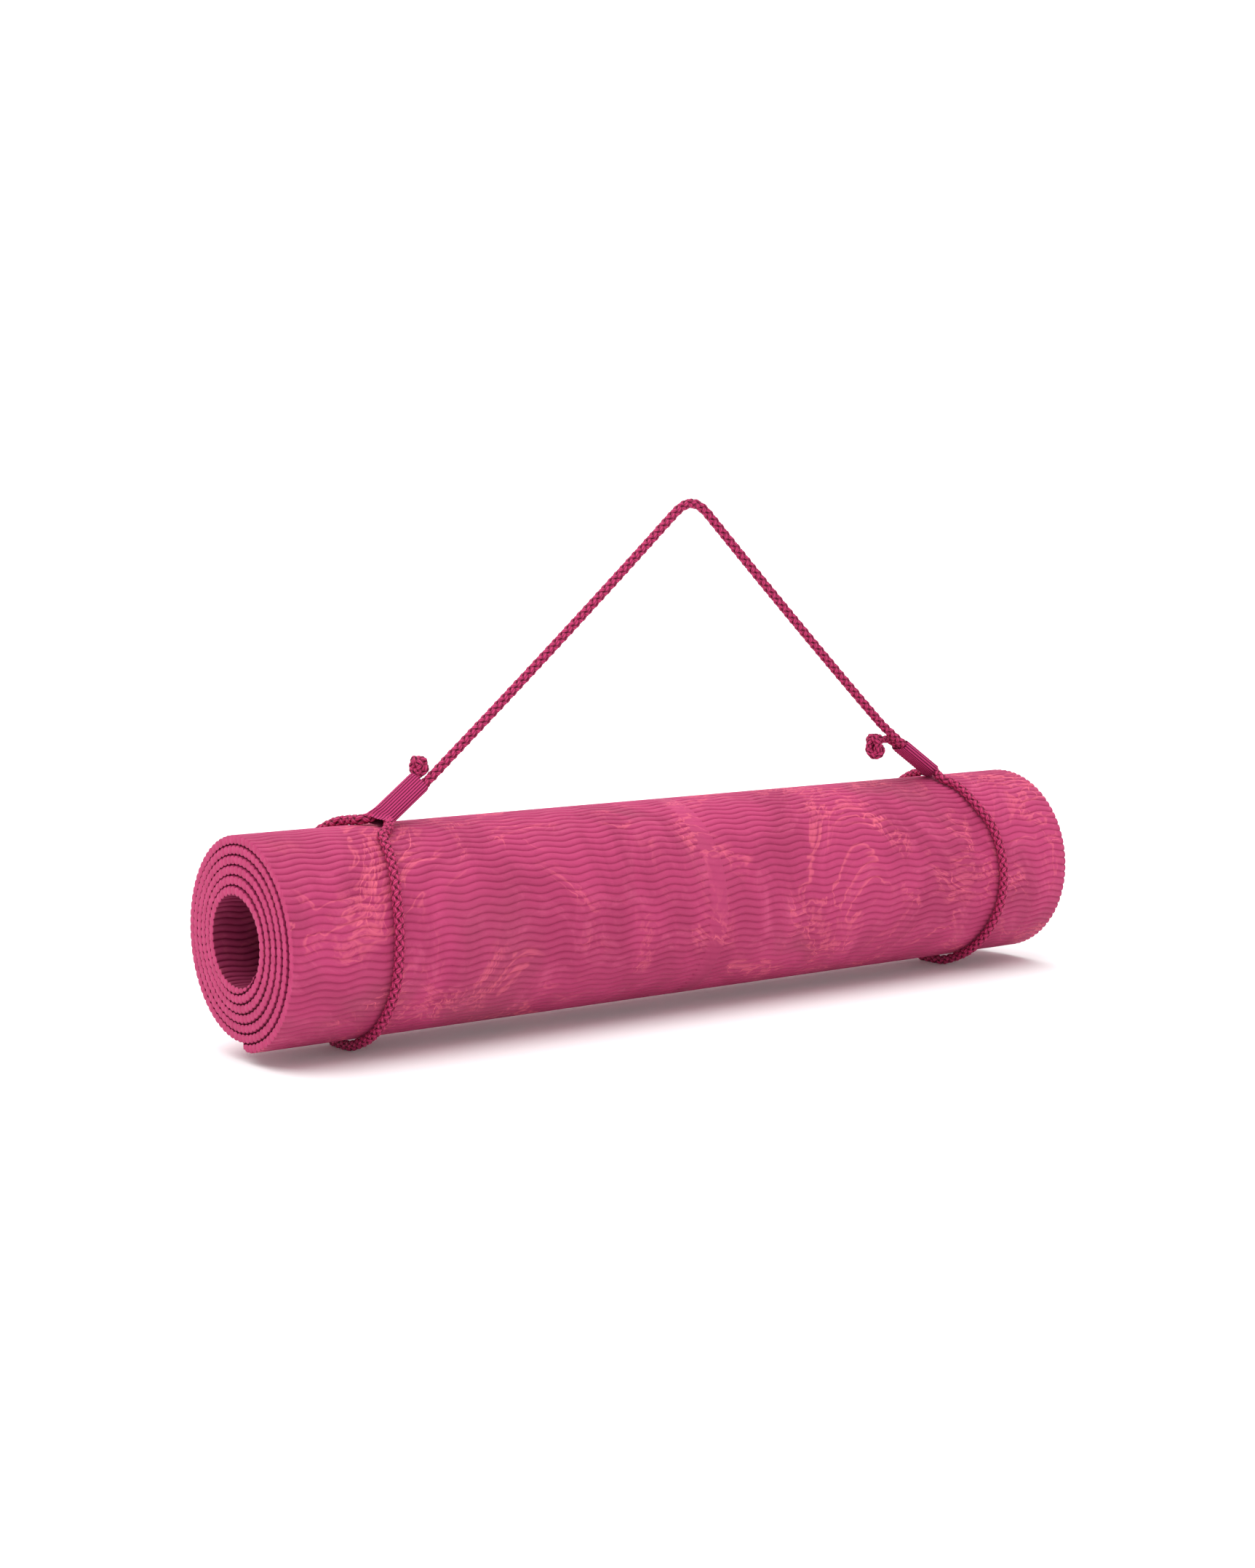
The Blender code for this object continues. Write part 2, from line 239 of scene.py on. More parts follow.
class Nodes:
    """A small layer over a material's node tree."""

    def __init__(self, name, roughness):
        self.material = bpy.data.materials.new(name)
        self.material.use_nodes = True
        self.tree = self.material.node_tree
        self.shader = self.tree.nodes["Principled BSDF"]
        self.shader.inputs["Roughness"].default_value = roughness

    def add(self, kind, **settings):
        node = self.tree.nodes.new(kind)
        for key, value in settings.items():
            setattr(node, key, value)
        return node

    def link(self, source, target):
        self.tree.links.new(source, target)

    def feed(self, node, index, value):
        socket = node.inputs[index]
        if hasattr(value, "is_output"):
            self.link(value, socket)
        else:
            socket.default_value = value

    def math(self, operation, a, b=0.0, c=0.0, clamp=False):
        node = self.add("ShaderNodeMath", operation=operation, use_clamp=clamp)
        for index, value in enumerate((a, b, c)):
            self.feed(node, index, value)
        return node.outputs[0]

    def vector(self, operation, a, b=(0.0, 0.0, 0.0), scale=1.0):
        node = self.add("ShaderNodeVectorMath", operation=operation)
        self.feed(node, 0, a)
        if operation == "SCALE":
            self.feed(node, 3, scale)
        else:
            self.feed(node, 1, b)
        return node.outputs[0]

    def noise(self, vector, scale, detail=2.0, roughness=0.5, distortion=0.0, colour=False):
        node = self.add("ShaderNodeTexNoise")
        self.link(vector, node.inputs["Vector"])
        node.inputs["Scale"].default_value = scale
        node.inputs["Detail"].default_value = detail
        node.inputs["Roughness"].default_value = roughness
        node.inputs["Distortion"].default_value = distortion
        return node.outputs["Color" if colour else "Fac"]

    def step(self, value, low, high):
        node = self.add("ShaderNodeMapRange", interpolation_type="SMOOTHSTEP")
        self.feed(node, 0, value)
        node.inputs[1].default_value = low
        node.inputs[2].default_value = high
        node.inputs[3].default_value = 0.0
        node.inputs[4].default_value = 1.0
        return node.outputs[0]

    def mix(self, factor, first, second):
        node = self.add("ShaderNodeMix", data_type="RGBA")
        self.feed(node, 0, factor)
        self.feed(node, 6, first)
        self.feed(node, 7, second)
        return node.outputs[2]

    def attribute(self, name):
        return self.add("ShaderNodeAttribute", attribute_name=name).outputs["Vector"]

    def bump(self, height, distance, strength=1.0):
        node = self.add("ShaderNodeBump")
        node.inputs["Strength"].default_value = strength
        node.inputs["Distance"].default_value = distance
        self.link(height, node.inputs["Height"])
        self.link(node.outputs[0], self.shader.inputs["Normal"])


# ---------------------------------------------------------------- mesh helpers


def new_mesh(name, vertices, faces, material, attributes=None):
    """A smooth-shaded object, its normals outward and a vector for each point in each attribute."""
    mesh = bpy.data.meshes.new(name)
    mesh.from_pydata(np.asarray(vertices).tolist(), [], faces)
    for key, values in (attributes or {}).items():
        layer = mesh.attributes.new(key, "FLOAT_VECTOR", "POINT")
        layer.data.foreach_set("vector", np.asarray(values, np.float32).ravel())
    work = bmesh.new()
    work.from_mesh(mesh)
    bmesh.ops.recalc_face_normals(work, faces=work.faces)
    work.to_mesh(mesh)
    work.free()
    mesh.polygons.foreach_set("use_smooth", [True] * len(mesh.polygons))
    mesh.materials.append(material)
    mesh.update()
    obj = bpy.data.objects.new(name, mesh)
    bpy.context.scene.collection.objects.link(obj)
    return obj


def bezier(start, start_handle, end_handle, end, steps):
    """Points along a cubic curve between two ends, each with its handle."""
    points = []
    for i in range(steps + 1):
        t = i / steps
        u = 1 - t
        points.append(
            start * u**3
            + start_handle * (3 * u * u * t)
            + end_handle * (3 * u * t * t)
            + end * t**3
        )
    return points


def resample(points, spacing):
    """The polyline's points at an even spacing, both ends kept."""
    points = np.array([tuple(point) for point in points])
    lengths = np.concatenate([[0.0], np.cumsum(np.linalg.norm(np.diff(points, axis=0), axis=1))])
    at = np.linspace(0.0, lengths[-1], ceil(lengths[-1] / spacing) + 1)
    return np.stack([np.interp(at, lengths, points[:, axis]) for axis in range(3)], axis=1)


def smooth_line(points, spacing, reach):
    """The line at an even spacing, rounded by a moving average of that reach, its ends kept."""
    fine = resample(points, spacing / 2)
    count = max(1, round(reach / (spacing / 2)))
    padded = np.concatenate(
        [2 * fine[0] - fine[count:0:-1], fine, 2 * fine[-1] - fine[-2 : -count - 2 : -1]]
    )
    kernel = np.hanning(2 * count + 3)[1:-1]
    kernel /= kernel.sum()
    rounded = np.stack(
        [np.convolve(padded[:, axis], kernel, mode="valid") for axis in range(3)], axis=1
    )
    return resample(rounded, spacing)


def frames_along(points):
    """Tangents and two normals along a line, turning no more than the line does."""
    tangents = np.gradient(points, axis=0)
    tangents /= np.linalg.norm(tangents, axis=1)[:, None]
    normal = np.cross(tangents[0], (0.0, 1.0, 0.0))
    if np.linalg.norm(normal) < 0.1:
        normal = np.cross(tangents[0], (0.0, 0.0, 1.0))
    normals = []
    for tangent in tangents:
        normal = normal - normal.dot(tangent) * tangent
        normal = normal / np.linalg.norm(normal)
        normals.append(normal)
    normals = np.array(normals)
    return tangents, normals, np.cross(tangents, normals)


# ---------------------------------------------------------------- the cord's route, as in CAD


def outer_radius(turns):
    """Radius of the roll's outer face, that many turns round from its bottom."""
    return ROLL_OUTER - ROLL_PITCH * turns


def interpolate(stations, value):
    """A value between two stations, partly eased at both."""
    for (a0, x0), (a1, x1) in zip(stations, stations[1:]):
        if value <= a1:
            share = max(0.0, (value - a0) / (a1 - a0))
            eased = share * share * (3 - 2 * share)
            return x0 + (x1 - x0) * (0.4 * eased + 0.6 * share)
    return stations[-1][1]


def loop_section(start_degrees, end_degrees):
    """Centre line round the roll: degrees from the top over the front, y and z."""
    hull = [(-FLOOR_FLAT, -ROLL_OUTER), (FLOOR_FLAT, -ROLL_OUTER)]
    for i in range(73):
        radius = outer_radius(i / 72)
        hull.append((-radius * sin(radians(5 * i)), -radius * cos(radians(5 * i))))
    reach = CORD_RADIUS + CLEARANCE
    section = []
    for degree in range(start_degrees, end_degrees + 1):
        ny = -sin(radians(degree))
        nz = cos(radians(degree))
        y, z = max(hull, key=lambda point: point[0] * ny + point[1] * nz)
        section.append((degree, ROLL_CENTRE_Y + y + reach * ny, ROLL_CENTRE_Z + z + reach * nz))
    return section


def surface_run(stations, start_degrees, end_degrees):
    """The cord's centre line round the roll, a point for each degree, with x taken from the stations."""
    return [
        Vector((interpolate(stations, degree), y, z))
        for degree, y, z in loop_section(start_degrees, end_degrees)
    ]


class Sleeve:
    """Where one sleeve's mouths and its two strands lie.

    The side is -1 at the roll's left end and 1 at its right. The tail side points from the strap's strand
    to the tail's. The mouth run is how far the strap's strand runs straight on below the sleeve.
    """

    def __init__(self, side, top, rise_degrees, tail_side, length, mouth_run):
        self.top = Vector(top)
        self.up = Vector((-side * cos(radians(rise_degrees)), 0.0, sin(radians(rise_degrees))))
        wide = Vector(tail_side)
        self.wide = (wide - wide.dot(self.up) * self.up).normalized()
        self.length = length
        self.mouth_run = mouth_run

    def strap_strand(self, below_top):
        return self.top - self.up * below_top - self.wide * STRAND_OFFSET

    def tail_strand(self, below_top):
        return self.top - self.up * below_top + self.wide * STRAND_OFFSET


def join(runs):
    """One line from several runs, each at its own spacing, with each shared end kept once."""
    points = []
    for run, spacing in runs:
        points += resample(run, spacing).tolist()[1 if points else 0 :]
    return points


def loop_route(sleeve, hinge, stations, landing, tail_top):
    """The cord from a hinge down through the sleeve, round the roll and back up into it.

    Gives the whole line, and the lines on the strap's side and the tail's side from the sleeve's top down.
    """
    mouth = sleeve.length + sleeve.mouth_run
    top = sleeve.strap_strand(-MOUTH_RUN)
    bottom = sleeve.strap_strand(mouth)
    tail_bottom = sleeve.tail_strand(sleeve.length + MOUTH_RUN)
    tail_end = sleeve.tail_strand(tail_top)
    around = surface_run(stations, stations[0][0], stations[-1][0])
    # Each handle's length sets how tightly the cord turns there.
    first_way = (around[1] - around[0]).normalized()
    last_way = (around[-1] - around[-2]).normalized()
    neck = bezier(hinge, hinge.lerp(top, 0.35), top + sleeve.up * 0.006, top, 12)
    from_sleeve = bottom - sleeve.up * 0.0024
    onto_roll = around[0] - first_way * 0.0115
    front = (bezier(bottom, from_sleeve, onto_roll, around[0], 16), MOUTH_SPACING)
    around_run = (around, ROUTE_SPACING)
    ahead = Vector((sleeve.up.x, 0.0, 0.0)).normalized()
    off_roll = around[-1] + last_way * 0.0083
    over = bezier(around[-1], off_roll, landing - ahead * 0.0055, landing, 16)
    into_sleeve = tail_bottom - sleeve.up * 0.0026
    rise = bezier(landing, landing + ahead * 0.0026, into_sleeve, tail_bottom, 10)
    back = [(over, BEND_SPACING), (rise, MOUTH_SPACING)]
    whole = join(
        [(neck, ROUTE_SPACING), ([top, bottom], STRAIGHT_SPACING), front, around_run]
        + back
        + [([tail_bottom, tail_end], STRAIGHT_SPACING)]
    )
    strap_side = join([([sleeve.strap_strand(0.0), bottom], STRAIGHT_SPACING), front, around_run])
    inside = ([tail_bottom, sleeve.tail_strand(0.0)], STRAIGHT_SPACING)
    tail_side = join([around_run] + back + [inside])[::-1]
    return whole, strap_side, tail_side


def leg(start, end):
    """One leg of the strap, sagging a little in its middle."""
    points = []
    for point in resample([start, end], STRAIGHT_SPACING):
        share = (Vector(point) - start).length / (end - start).length
        points.append(Vector(point) - Vector((0.0, 0.0, 4 * LEG_SAG * share * (1 - share))))
    return points


def strap_route(left_hinge, right_hinge):
    """The free strap: two legs, and a tight bend between them at the top."""
    left_way = (APEX - left_hinge).normalized()
    right_way = (APEX - right_hinge).normalized()
    left_bend = APEX - left_way * APEX_BEND
    right_bend = APEX - right_way * APEX_BEND
    left_handle = left_bend.lerp(APEX, 0.72)
    right_handle = right_bend.lerp(APEX, 0.72)
    bend = bezier(left_bend, left_handle, right_handle, right_bend, 16)
    return leg(left_hinge, left_bend)[:-1] + bend + leg(right_bend, right_hinge)[1:]


# ---------------------------------------------------------------- materials


def foam_material():
    """Marbled closed-cell foam.

    The attribute sheet holds x, the distance along the sheet and the height, in metres. The other attribute
    holds how much shade is painted on: how deep in a groove the surface lies, or a fixed amount on the faces
    hidden in the gaps between two turns.
    """
    n = Nodes("marbled_foam", 0.62)
    sheet = n.attribute("sheet")
    split = n.add("ShaderNodeSeparateXYZ")
    n.link(sheet, split.inputs[0])
    flat = n.add("ShaderNodeCombineXYZ")
    n.link(n.math("ADD", split.outputs[0], MARBLING_SHIFT), flat.inputs[0])
    n.link(split.outputs[1], flat.inputs[1])
    flat = flat.outputs[0]
    # The share of ribbed face, against the cut edges of the sheet.
    face = n.step(n.math("ABSOLUTE", split.outputs[2]), 0.00225, 0.0027)

    def swirled(vector, scale, amount, detail):
        drift = n.vector("SUBTRACT", n.noise(vector, scale, detail, colour=True), (0.5, 0.5, 0.5))
        return n.vector("ADD", vector, n.vector("SCALE", drift, scale=amount))

    # The marbling is stirred in two sizes, and then drawn out along the roll.
    broad = swirled(flat, 7.0, 0.16, 1.5)
    curled = swirled(broad, 27.0, 0.030, 2.0)
    drawn = n.vector("MULTIPLY", curled, (0.42, 1.0, 1.0))

    def lines(vector, scale, width, detail, roughness=0.55):
        """Thin lines along a noise field's middle level, soft at both sides."""
        field = n.noise(vector, scale, detail, roughness)
        away = n.math("ABSOLUTE", n.math("SUBTRACT", field, 0.5))
        return n.math("SUBTRACT", 1.0, n.step(away, 0.0, width))

    # Soft clouds of the deeper, greyer and paler foam.
    cloud = n.noise(curled, 20.0, 4.0, 0.6)
    base = n.mix(n.step(cloud, 0.34, 0.68), FOAM_DEEP, FOAM_LIGHT)
    mauve = n.math("MULTIPLY", n.step(n.noise(broad, 9.0, 3.0), 0.52, 0.68), 0.8)
    base = n.mix(mauve, base, FOAM_MAUVE)
    smoke = n.math("MULTIPLY", n.step(n.noise(drawn, 75.0, 6.0, 0.68), 0.50, 0.76), 0.55)
    base = n.mix(smoke, base, FOAM_PALE)

    # Coral veins and flecks, each only where a broader field lets them gather.
    gathered = n.step(n.noise(broad, 13.0, 2.0), 0.50, 0.64)
    strewn = n.step(n.noise(curled, 24.0, 2.0), 0.50, 0.66)
    long_lines = n.math("MULTIPLY", lines(drawn, 30.0, 0.022, 4.0), gathered)
    fine_lines = n.math("MULTIPLY", lines(drawn, 95.0, 0.055, 5.0, 0.62), strewn)
    curl_lines = n.math("MULTIPLY", lines(curled, 22.0, 0.010, 3.0), strewn)
    veins = n.math("MULTIPLY", n.math("MAXIMUM", long_lines, fine_lines), 0.50)
    veins = n.math("MAXIMUM", veins, n.math("MULTIPLY", curl_lines, 0.80))
    flecks = n.step(n.noise(drawn, 48.0, 4.0, 0.65), 0.69, 0.77)
    flecks = n.math("MULTIPLY", flecks, n.math("MULTIPLY_ADD", gathered, 0.75, 0.1))
    veins = n.math("MAXIMUM", veins, flecks)
    base = n.mix(n.math("MULTIPLY", veins, 0.92), base, FOAM_CORAL)

    # The cut edges and the grain, and then painted shade: in the grooves, on the faces hidden in the gaps
    # between turns, and over the whole inner face of the hole.
    cut = n.mix(n.step(n.noise(sheet, 160.0, 3.0, 0.6), 0.3, 0.7), FOAM_CUT_DEEP, FOAM_CUT_LIGHT)
    base = n.mix(face, cut, base)
    painted_recess_shade = n.add("ShaderNodeSeparateXYZ")
    n.link(n.attribute("painted_recess_shade"), painted_recess_shade.inputs[0])
    inner = n.step(split.outputs[2], -0.00225, -0.0027)
    groove = n.math("MULTIPLY", painted_recess_shade.outputs[0], face)
    groove = n.math("MULTIPLY", groove, n.math("MULTIPLY_ADD", inner, 0.5, 0.15))
    grain = n.noise(sheet, 2600.0, 2.0, 0.6)
    base = n.mix(n.math("MULTIPLY", n.step(grain, 0.35, 0.75), 0.14), base, FOAM_PALE)
    base = n.mix(groove, base, FOAM_SHADE)
    base = n.mix(n.math("MULTIPLY", inner, 0.46), base, FOAM_SHADE)
    n.link(base, n.shader.inputs["Base Color"])
    n.link(n.math("MULTIPLY_ADD", grain, 0.16, 0.58), n.shader.inputs["Roughness"])
    # Less gloss where the shade is painted in the grooves and gaps.
    gloss = n.math("MULTIPLY_ADD", groove, -0.4, 0.20, clamp=True)
    n.link(gloss, n.shader.inputs["Specular IOR Level"])
    n.shader.inputs["Sheen Weight"].default_value = 0.01
    n.shader.inputs["Sheen Roughness"].default_value = 0.5
    pores = n.math("MULTIPLY_ADD", n.noise(sheet, 900.0, 3.0, 0.7), 0.5, grain)
    n.bump(pores, 0.00012, 0.5)
    return n.material


def rope_material():
    """Twisted synthetic yarn.

    The attribute strand holds the share of the way round a strand, the metres along and the height. Where a
    strand lies low, on its flanks and in the crevices between strands, the colour is painted dark as shade.
    """
    n = Nodes("plaited_cord", 0.6)
    strand = n.attribute("strand")
    split = n.add("ShaderNodeSeparateXYZ")
    n.link(strand, split.inputs[0])
    slant = n.math("MULTIPLY", split.outputs[0], 5.0)
    turn = n.math("MULTIPLY_ADD", split.outputs[1], 420.0, slant)
    yarn = n.math("ABSOLUTE", n.math("SINE", n.math("MULTIPLY", turn, pi)))
    fibres = n.add("ShaderNodeCombineXYZ")
    n.link(n.math("MULTIPLY", split.outputs[0], 30.0), fibres.inputs[0])
    n.link(n.math("MULTIPLY", split.outputs[1], 260.0), fibres.inputs[1])
    fuzz = n.noise(fibres.outputs[0], 1.0, 3.0, 0.65)
    shade = n.math("ADD", n.math("MULTIPLY", yarn, 0.45), n.math("MULTIPLY", fuzz, 0.55))
    # Yarn stripes and fuzz, then painted shade on the low parts of the strands.
    shade = n.math("MULTIPLY", n.step(shade, 0.05, 0.75), n.step(split.outputs[2], 0.70, 0.99))
    n.link(n.mix(shade, ROPE_DARK_AND_SHADE, ROPE_LIGHT), n.shader.inputs["Base Color"])
    n.link(n.math("MULTIPLY_ADD", fuzz, 0.2, 0.48), n.shader.inputs["Roughness"])
    n.shader.inputs["Specular IOR Level"].default_value = 0.15
    n.shader.inputs["Sheen Weight"].default_value = 0.01
    n.shader.inputs["Sheen Roughness"].default_value = 0.4
    n.bump(n.math("MULTIPLY_ADD", fuzz, 0.5, yarn), 0.00016, 0.7)
    return n.material


def webbing_material():
    """Ribbed woven tube.

    The attribute weave holds the share of the way round, the metres along and the rib's height. The colour
    goes dark with a low rib height, as painted shade in the valleys between the ribs and over the inside of
    the tube.
    """
    n = Nodes("ribbed_webbing", 0.7)
    weave = n.attribute("weave")
    split = n.add("ShaderNodeSeparateXYZ")
    n.link(weave, split.inputs[0])
    picks = n.math("SINE", n.math("MULTIPLY", split.outputs[1], pi / 0.00055))
    picks = n.math("ABSOLUTE", picks)
    fuzz_at = n.add("ShaderNodeCombineXYZ")
    n.link(n.math("MULTIPLY", split.outputs[0], 160.0), fuzz_at.inputs[0])
    n.link(n.math("MULTIPLY", split.outputs[1], 900.0), fuzz_at.inputs[1])
    fuzz = n.noise(fuzz_at.outputs[0], 1.0, 3.0, 0.6)
    rib = split.outputs[2]
    # Painted shade in the valleys between the ribs, mixed with the yarn's fuzz.
    level = n.math("MULTIPLY_ADD", rib, 0.75, n.math("MULTIPLY", fuzz, 0.35))
    colour = n.mix(n.step(level, 0.25, 0.95), WEB_DARK_AND_SHADE, WEB_LIGHT)
    between_picks = n.math("MULTIPLY", n.math("SUBTRACT", 1.0, picks), 0.25)
    colour = n.mix(between_picks, colour, WEB_PICK)
    n.link(colour, n.shader.inputs["Base Color"])
    n.link(n.math("MULTIPLY_ADD", fuzz, 0.2, 0.6), n.shader.inputs["Roughness"])
    n.shader.inputs["Sheen Weight"].default_value = 0.01
    n.shader.inputs["Specular IOR Level"].default_value = 0.15
    n.shader.inputs["Sheen Roughness"].default_value = 0.4
    n.bump(n.math("MULTIPLY_ADD", picks, 0.6, fuzz), 0.00012, 0.8)
    return n.material


def thread_material():
    """Two-ply sewing thread."""
    n = Nodes("sewing_thread", 0.5)
    where = n.add("ShaderNodeTexCoord").outputs["Object"]
    ply = n.noise(where, 2200.0, 2.0, 0.6)
    n.link(n.mix(ply, THREAD_DARK, THREAD_LIGHT), n.shader.inputs["Base Color"])
    n.link(n.math("MULTIPLY_ADD", ply, 0.2, 0.4), n.shader.inputs["Roughness"])
    n.bump(ply, 0.00008, 0.6)
    return n.material


# ---------------------------------------------------------------- the mat


def sheet_angle(along):
    """Angle wound from the free end to a distance along the sheet."""
    return (ROLL_MIDDLE - np.sqrt(ROLL_MIDDLE**2 - ROLL_PITCH * along / pi)) * 2 * pi / ROLL_PITCH


def rounding(distance, radius):
    """How far a rounded edge of that radius falls back, so far in from the edge."""
    inside = np.clip(radius - distance, 0.0, radius)
    return radius - np.sqrt(radius**2 - inside**2)


def end_fall(along, face):
    """How far a face falls back at the ends: rounded outside the free end, thinned inside the inner end."""
    if face > 0:
        share = max(0.0, 1 - along / FREE_END_RUN)
        free_end = FREE_END_FALL * (1 - sqrt(1 - share * share))
        return free_end + rounding(SHEET_LENGTH - along, INNER_EDGE_ROUND)
    share = min(1.0, max(0.0, 1 - (SHEET_LENGTH - along) / INNER_TAPER))
    thinning = INNER_THINNING * CREST_THICKNESS * share * share * (3 - 2 * share)
    return rounding(along, FREE_EDGE_ROUND) + thinning


def mat_rows():
    """The mesh's rows, as distances along the sheet, close together at both ends and in each groove."""
    free = np.array(FREE_END_ROWS)
    inner = np.array(INNER_END_ROWS)
    ribs = np.arange(ceil(SHEET_LENGTH / RIB_PITCH) + 1)
    body = (ribs[:, None] + np.array(RIB_ROWS)).ravel() * RIB_PITCH
    body = body[(body > free[-1] + ROW_GAP) & (body < SHEET_LENGTH - inner[-1] - ROW_GAP)]
    return np.concatenate([free, body, SHEET_LENGTH - inner[::-1]])


def mat_columns():
    """The mesh's columns, as places across the sheet, and the numbers of those kept on hidden turns."""
    half = SHEET_WIDTH / 2
    edge = np.array(EDGE_COLUMNS)
    body = np.linspace(-half + BODY_MARGIN, half - BODY_MARGIN, BODY_COLUMNS)
    band = [BAND_CENTRE + side * (BAND_HALF + step) for side in (-1, 1) for step in BAND_COLUMNS]
    body = np.array([x for x in body if min(abs(x - b) for b in band) > BAND_CLEAR] + band)
    fine = np.sort(np.concatenate([-half + edge, body, half - edge]))
    near = [i for i, x in enumerate(fine) if half - abs(x) < HIDDEN_MARGIN]
    left_last, right_first = near[len(near) // 2 - 1], near[len(near) // 2]
    middle = list(range(left_last, right_first, HIDDEN_COLUMNS))
    return fine, np.array(sorted(set(near + middle)))


def mat_row(face, along, x):
    """One row of a face: its points, its places on the flat sheet and how deep in a groove each lies."""
    half = SHEET_WIDTH / 2
    from_end = min(along, SHEET_LENGTH - along)
    fade = min(1.0, max(0.0, (from_end - WAVE_FADE_FROM) / WAVE_FADE_RUN))
    wave = WAVE_HEIGHT * np.sin(2 * pi * x / WAVE_LENGTH + WAVE_START)
    wave = wave + SWAY_HEIGHT * np.sin(2 * pi * x / SWAY_LENGTH + 1.0)
    place = along + fade * wave
    phase = (place - wave) / RIB_PITCH
    groove = (1 - np.abs(np.sin(pi * phase))) ** RIB_SHARPNESS
    ribbed = 1 - np.clip((BAND_HALF - np.abs(x - BAND_CENTRE)) / BAND_EDGE, 0.0, 1.0)
    depth = RIB_DEPTH * groove * (ribbed if face > 0 else 1.0)
    depth = depth + rounding(half - np.abs(x), EDGE_ROUND) + end_fall(along, face)
    turned = sheet_angle(place)
    turns = turned / (2 * pi)
    radius = ROLL_MIDDLE - ROLL_PITCH * turned / (2 * pi) + face * (CREST_THICKNESS / 2 - depth)
    corner = rounding(along, FREE_CORNER) + rounding(SHEET_LENGTH - along, INNER_CORNER)
    uneven = UNEVENNESS * np.sin(2.1 * turned + 0.7) * np.clip(turns, 0.0, 1.0)
    drift = uneven - TELESCOPE * turns / TURN_COUNT
    across = x * (1 - corner / half) + drift
    y = ROLL_CENTRE_Y - radius * np.sin(turned)
    z = ROLL_CENTRE_Z - radius * np.cos(turned)
    height = np.full(len(x), face * SHEET_THICKNESS / 2)
    return np.stack([across, y, z], axis=1), np.stack([x, place, height], axis=1), groove


def bridge(first, second):
    """Faces between two rows, each given as its columns' numbers and its vertices' numbers."""
    (c0, v0), (c1, v1) = first, second
    if len(c0) == len(c1):
        return np.stack([v0[:-1], v0[1:], v1[1:], v1[:-1]], axis=1).tolist()
    few, many = (first, second) if len(c0) < len(c1) else (second, first)
    spots = np.searchsorted(many[0], few[0])
    faces = []
    for i in range(len(spots) - 1):
        along = many[1][spots[i] : spots[i + 1] + 1][::-1].tolist()
        faces.append([int(few[1][i]), int(few[1][i + 1])] + along)
    return faces


def build_mat(material):
    """The rolled sheet as one closed skin, with few columns where a face is hidden between two turns."""
    rows = mat_rows()
    fine, coarse = mat_columns()
    every = np.arange(len(fine))
    angles = sheet_angle(rows)
    last_turn = angles[-1] - 2 * pi * SHOWN_LAST_TURNS
    vertices, sheet, painted_recess_shade, grids, total = [], [], [], [], 0
    for face in (1, -1):
        grid = []
        gap_shade = OUTER_GAP_SHADE if face > 0 else INNER_GAP_SHADE
        for along, angle in zip(rows, angles):
            shown = angle < 2 * pi * SHOWN_TURNS if face > 0 else angle > last_turn
            columns = every if shown else coarse
            points, places, groove = mat_row(face, along, fine[columns])
            vertices.append(points)
            sheet.append(places)
            # Painted shade: by each groove's depth on shown faces, and a fixed amount on faces hidden
            # between turns.
            deep = groove if shown else np.full(len(columns), gap_shade)
            painted_recess_shade.append(np.stack([deep, np.zeros(len(columns)), np.zeros(len(columns))], axis=1))
            grid.append((columns, total + np.arange(len(columns))))
            total += len(columns)
        grids.append(grid)

    faces = []
    outer, inner = grids
    for grid in grids:
        for first, second in zip(grid, grid[1:]):
            faces.extend(bridge(first, second))
    for end in (0, -1):
        faces.extend(bridge(outer[end], inner[end]))
        a = np.array([row[1][end] for row in outer])
        b = np.array([row[1][end] for row in inner])
        faces.extend(np.stack([a[:-1], a[1:], b[1:], b[:-1]], axis=1).tolist())
    attributes = {"sheet": np.concatenate(sheet), "painted_recess_shade": np.concatenate(painted_recess_shade)}
    return new_mesh("mat_foam_sheet", np.concatenate(vertices), faces, material, attributes)


# ---------------------------------------------------------------- the cord


